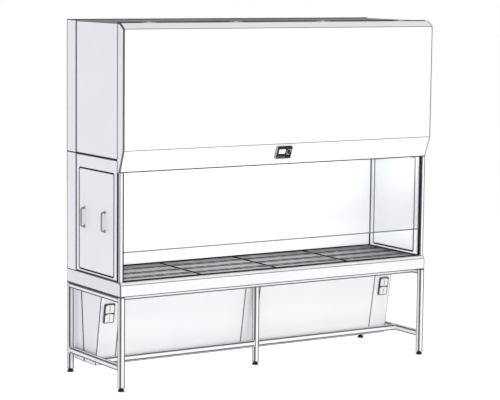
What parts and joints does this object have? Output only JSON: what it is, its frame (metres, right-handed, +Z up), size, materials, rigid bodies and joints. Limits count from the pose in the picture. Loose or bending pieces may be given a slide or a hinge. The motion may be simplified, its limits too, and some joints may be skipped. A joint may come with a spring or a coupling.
{
  "type": "biological safety cabinet",
  "caption": "Wide floor-standing biological safety cabinet with a vertical glass sash, slotted worktop trays, lift-out side hatches, hinged front cover and open tube stand.",
  "frame": {"origin": "on the floor, at the middle of the overall length and depth", "axes": "+X along the length to the user's right, +Y from the user to the back, +Z up"},
  "size_m": [2.769, 0.8734, 2.6077],
  "materials": {
    "white_coat": "white powder coat, fine satin",
    "base_coat": "pale grey powder coat, fine satin",
    "stainless": "brushed stainless steel",
    "galvanised": "galvanised sheet",
    "steel_weight": "black painted iron",
    "steel_cable": "stranded stainless",
    "glass": "clear laminated safety glass",
    "aluminium": "mill aluminium",
    "black_rubber": "matt EPDM",
    "black_plastic": "fine textured black plastic",
    "knob_plastic": "dark grey plastic",
    "key_plastic": "mid grey key caps",
    "display": "pale backlit display window",
    "white_plastic": "white moulded plastic",
    "grey_plastic": "dark grey moulded plastic",
    "filter_media": "pleated glass-fibre paper in a frame"
  },
  "bodies": {
    "root": {"air_diffuser": "aluminium", "back_wall": "white_coat", "base_pan": "base_coat", "casing_seals": "black_rubber", "cover_hinges": "stainless", "electrical_box": "galvanised", "exhaust_filter": "filter_media", "fan_housings": "galvanised", "fan_motors": "aluminium", "front_bulkhead": "galvanised", "lamps": "white_plastic", "leg_plugs": "black_plastic", "lower_side_panels": "white_coat", "outlet_boxes": "grey_plastic", "panel_screws": "stainless", "plenum_casings": "white_coat", "plenum_covers": "white_coat", "pulley_brackets": "galvanised", "rear_duct_casings": "white_coat", "sash_cables": "steel_cable", "sash_rail_seals": "black_rubber", "sash_rails": "white_coat", "stand_legs": "white_coat", "stand_rails": "white_coat", "supply_filters": "filter_media", "top_panel": "galvanised", "tray_bearers": "stainless", "upper_side_panels": "white_coat"},
    "sash": {"sash_glass": "glass", "sash_clamps": "aluminium"},
    "counterweight_left": {"counterweight_left": "steel_weight"},
    "counterweight_right": {"counterweight_right": "steel_weight"},
    "pulley_left": {"pulley_left": "black_plastic"},
    "pulley_right": {"pulley_right": "black_plastic"},
    "front_cover": {"front_cover": "white_coat", "control_panel": "black_plastic", "control_display": "display"},
    "control_knob": {"control_knob": "knob_plastic"},
    "control_key_1": {"control_key_1": "key_plastic"},
    "control_key_2": {"control_key_2": "key_plastic"},
    "control_key_3": {"control_key_3": "key_plastic"},
    "hatch_left": {"hatch_left": "white_coat", "hatch_left_handles": "stainless"},
    "hatch_right": {"hatch_right": "white_coat", "hatch_right_handles": "stainless"},
    "fan_impeller_left": {"fan_impeller_left": "aluminium"},
    "fan_impeller_right": {"fan_impeller_right": "aluminium"},
    "worktop_tray_1": {"worktop_tray_1": "stainless"},
    "worktop_tray_2": {"worktop_tray_2": "stainless"},
    "worktop_tray_3": {"worktop_tray_3": "stainless"},
    "worktop_tray_4": {"worktop_tray_4": "stainless"},
    "foot_front_left": {"foot_front_left": "black_plastic"},
    "foot_front_right": {"foot_front_right": "black_plastic"},
    "foot_middle": {"foot_middle": "black_plastic"},
    "foot_rear_left": {"foot_rear_left": "black_plastic"},
    "foot_rear_right": {"foot_rear_right": "black_plastic"},
    "outlet_lid_left_lower": {"outlet_lid_left_lower": "white_plastic"},
    "outlet_lid_left_upper": {"outlet_lid_left_upper": "white_plastic"},
    "outlet_lid_right_lower": {"outlet_lid_right_lower": "white_plastic"},
    "outlet_lid_right_upper": {"outlet_lid_right_upper": "white_plastic"}
  },
  "joints": [
    {"name": "sash_slide", "type": "slide", "parent": "root", "child": "sash", "axis": [0, 0, 1], "range_m": [-0.196, 0.35], "deforming": ["sash_cables"]},
    {"name": "counterweight_left_slide", "type": "slide", "parent": "root", "child": "counterweight_left", "axis": [0, 0, 1], "range_m": [-0.36, 0.21]},
    {"name": "counterweight_right_slide", "type": "slide", "parent": "root", "child": "counterweight_right", "axis": [0, 0, 1], "range_m": [-0.36, 0.21]},
    {"name": "pulley_left_spin", "type": "hinge", "parent": "root", "child": "pulley_left", "pos_m": [-1.2, -0.37332, 2.55], "axis": [1, 0, 0], "range_deg": [-575, 970]},
    {"name": "pulley_right_spin", "type": "hinge", "parent": "root", "child": "pulley_right", "pos_m": [1.2, -0.37332, 2.55], "axis": [1, 0, 0], "range_deg": [-575, 970]},
    {"name": "front_cover_hinge", "type": "hinge", "parent": "root", "child": "front_cover", "pos_m": [0, -0.33682, 2.6049], "axis": [-1, 0, 0], "range_deg": [0, 80]},
    {"name": "control_knob_turn", "type": "hinge", "parent": "front_cover", "child": "control_knob", "pos_m": [0.041, -0.4185, 1.65267], "axis": [0, -0.9361, -0.3518], "continuous": true},
    {"name": "control_key_1_press", "type": "slide", "parent": "front_cover", "child": "control_key_1", "axis": [0, 0.9361, 0.3518], "range_m": [0, 0.0012], "stiffness_N_per_m": 300, "springref_m": -0.001},
    {"name": "control_key_2_press", "type": "slide", "parent": "front_cover", "child": "control_key_2", "axis": [0, 0.9361, 0.3518], "range_m": [0, 0.0012], "stiffness_N_per_m": 300, "springref_m": -0.001},
    {"name": "control_key_3_press", "type": "slide", "parent": "front_cover", "child": "control_key_3", "axis": [0, 0.9361, 0.3518], "range_m": [0, 0.0012], "stiffness_N_per_m": 300, "springref_m": -0.001},
    {"name": "hatch_left_pull", "type": "slide", "parent": "root", "child": "hatch_left", "axis": [-1, 0, 0], "range_m": [0, 0.25]},
    {"name": "hatch_right_pull", "type": "slide", "parent": "root", "child": "hatch_right", "axis": [1, 0, 0], "range_m": [0, 0.25]},
    {"name": "worktop_tray_1_lift", "type": "slide", "parent": "root", "child": "worktop_tray_1", "axis": [0, 0, 1], "range_m": [0, 0.18]},
    {"name": "worktop_tray_2_lift", "type": "slide", "parent": "root", "child": "worktop_tray_2", "axis": [0, 0, 1], "range_m": [0, 0.18]},
    {"name": "worktop_tray_3_lift", "type": "slide", "parent": "root", "child": "worktop_tray_3", "axis": [0, 0, 1], "range_m": [0, 0.18]},
    {"name": "worktop_tray_4_lift", "type": "slide", "parent": "root", "child": "worktop_tray_4", "axis": [0, 0, 1], "range_m": [0, 0.18]},
    {"name": "outlet_lid_left_upper_hinge", "type": "hinge", "parent": "root", "child": "outlet_lid_left_upper", "pos_m": [-1.234, -0.02705, 0.55682], "axis": [-1, 0, 0], "range_deg": [0, 100], "stiffness_Nm_per_rad": 0.02, "springref_deg": -34.38},
    {"name": "outlet_lid_left_lower_hinge", "type": "hinge", "parent": "root", "child": "outlet_lid_left_lower", "pos_m": [-1.234, -0.01509, 0.48785], "axis": [-1, 0, 0], "range_deg": [0, 100], "stiffness_Nm_per_rad": 0.02, "springref_deg": -34.38},
    {"name": "outlet_lid_right_upper_hinge", "type": "hinge", "parent": "root", "child": "outlet_lid_right_upper", "pos_m": [1.234, -0.02705, 0.55682], "axis": [-1, 0, 0], "range_deg": [0, 100], "stiffness_Nm_per_rad": 0.02, "springref_deg": -34.38},
    {"name": "outlet_lid_right_lower_hinge", "type": "hinge", "parent": "root", "child": "outlet_lid_right_lower", "pos_m": [1.234, -0.01509, 0.48785], "axis": [-1, 0, 0], "range_deg": [0, 100], "stiffness_Nm_per_rad": 0.02, "springref_deg": -34.38},
    {"name": "fan_left_spin", "type": "hinge", "parent": "root", "child": "fan_impeller_left", "pos_m": [-0.65, -0.02532, 1.99], "axis": [0, 0, 1], "continuous": true},
    {"name": "fan_right_spin", "type": "hinge", "parent": "root", "child": "fan_impeller_right", "pos_m": [0.65, -0.02532, 1.99], "axis": [0, 0, 1], "continuous": true},
    {"name": "foot_front_left_turn", "type": "hinge", "parent": "root", "child": "foot_front_left", "pos_m": [-1.33, -0.36532, 0.04], "axis": [0, 0, 1], "continuous": true},
    {"name": "foot_front_right_turn", "type": "hinge", "parent": "root", "child": "foot_front_right", "pos_m": [1.33, -0.36532, 0.04], "axis": [0, 0, 1], "continuous": true},
    {"name": "foot_rear_left_turn", "type": "hinge", "parent": "root", "child": "foot_rear_left", "pos_m": [-1.33, 0.41268, 0.04], "axis": [0, 0, 1], "continuous": true},
    {"name": "foot_rear_right_turn", "type": "hinge", "parent": "root", "child": "foot_rear_right", "pos_m": [1.33, 0.41268, 0.04], "axis": [0, 0, 1], "continuous": true},
    {"name": "foot_middle_turn", "type": "hinge", "parent": "root", "child": "foot_middle", "pos_m": [0, -0.05832, 0.04], "axis": [0, 0, 1], "continuous": true}
  ],
  "couplings": [
    {"joint": "counterweight_left_slide", "follows": "sash_slide", "ratio": -1},
    {"joint": "pulley_left_spin", "follows": "sash_slide", "rad_per_m": 47.619},
    {"joint": "counterweight_right_slide", "follows": "sash_slide", "ratio": -1},
    {"joint": "pulley_right_spin", "follows": "sash_slide", "rad_per_m": 47.619}
  ]
}
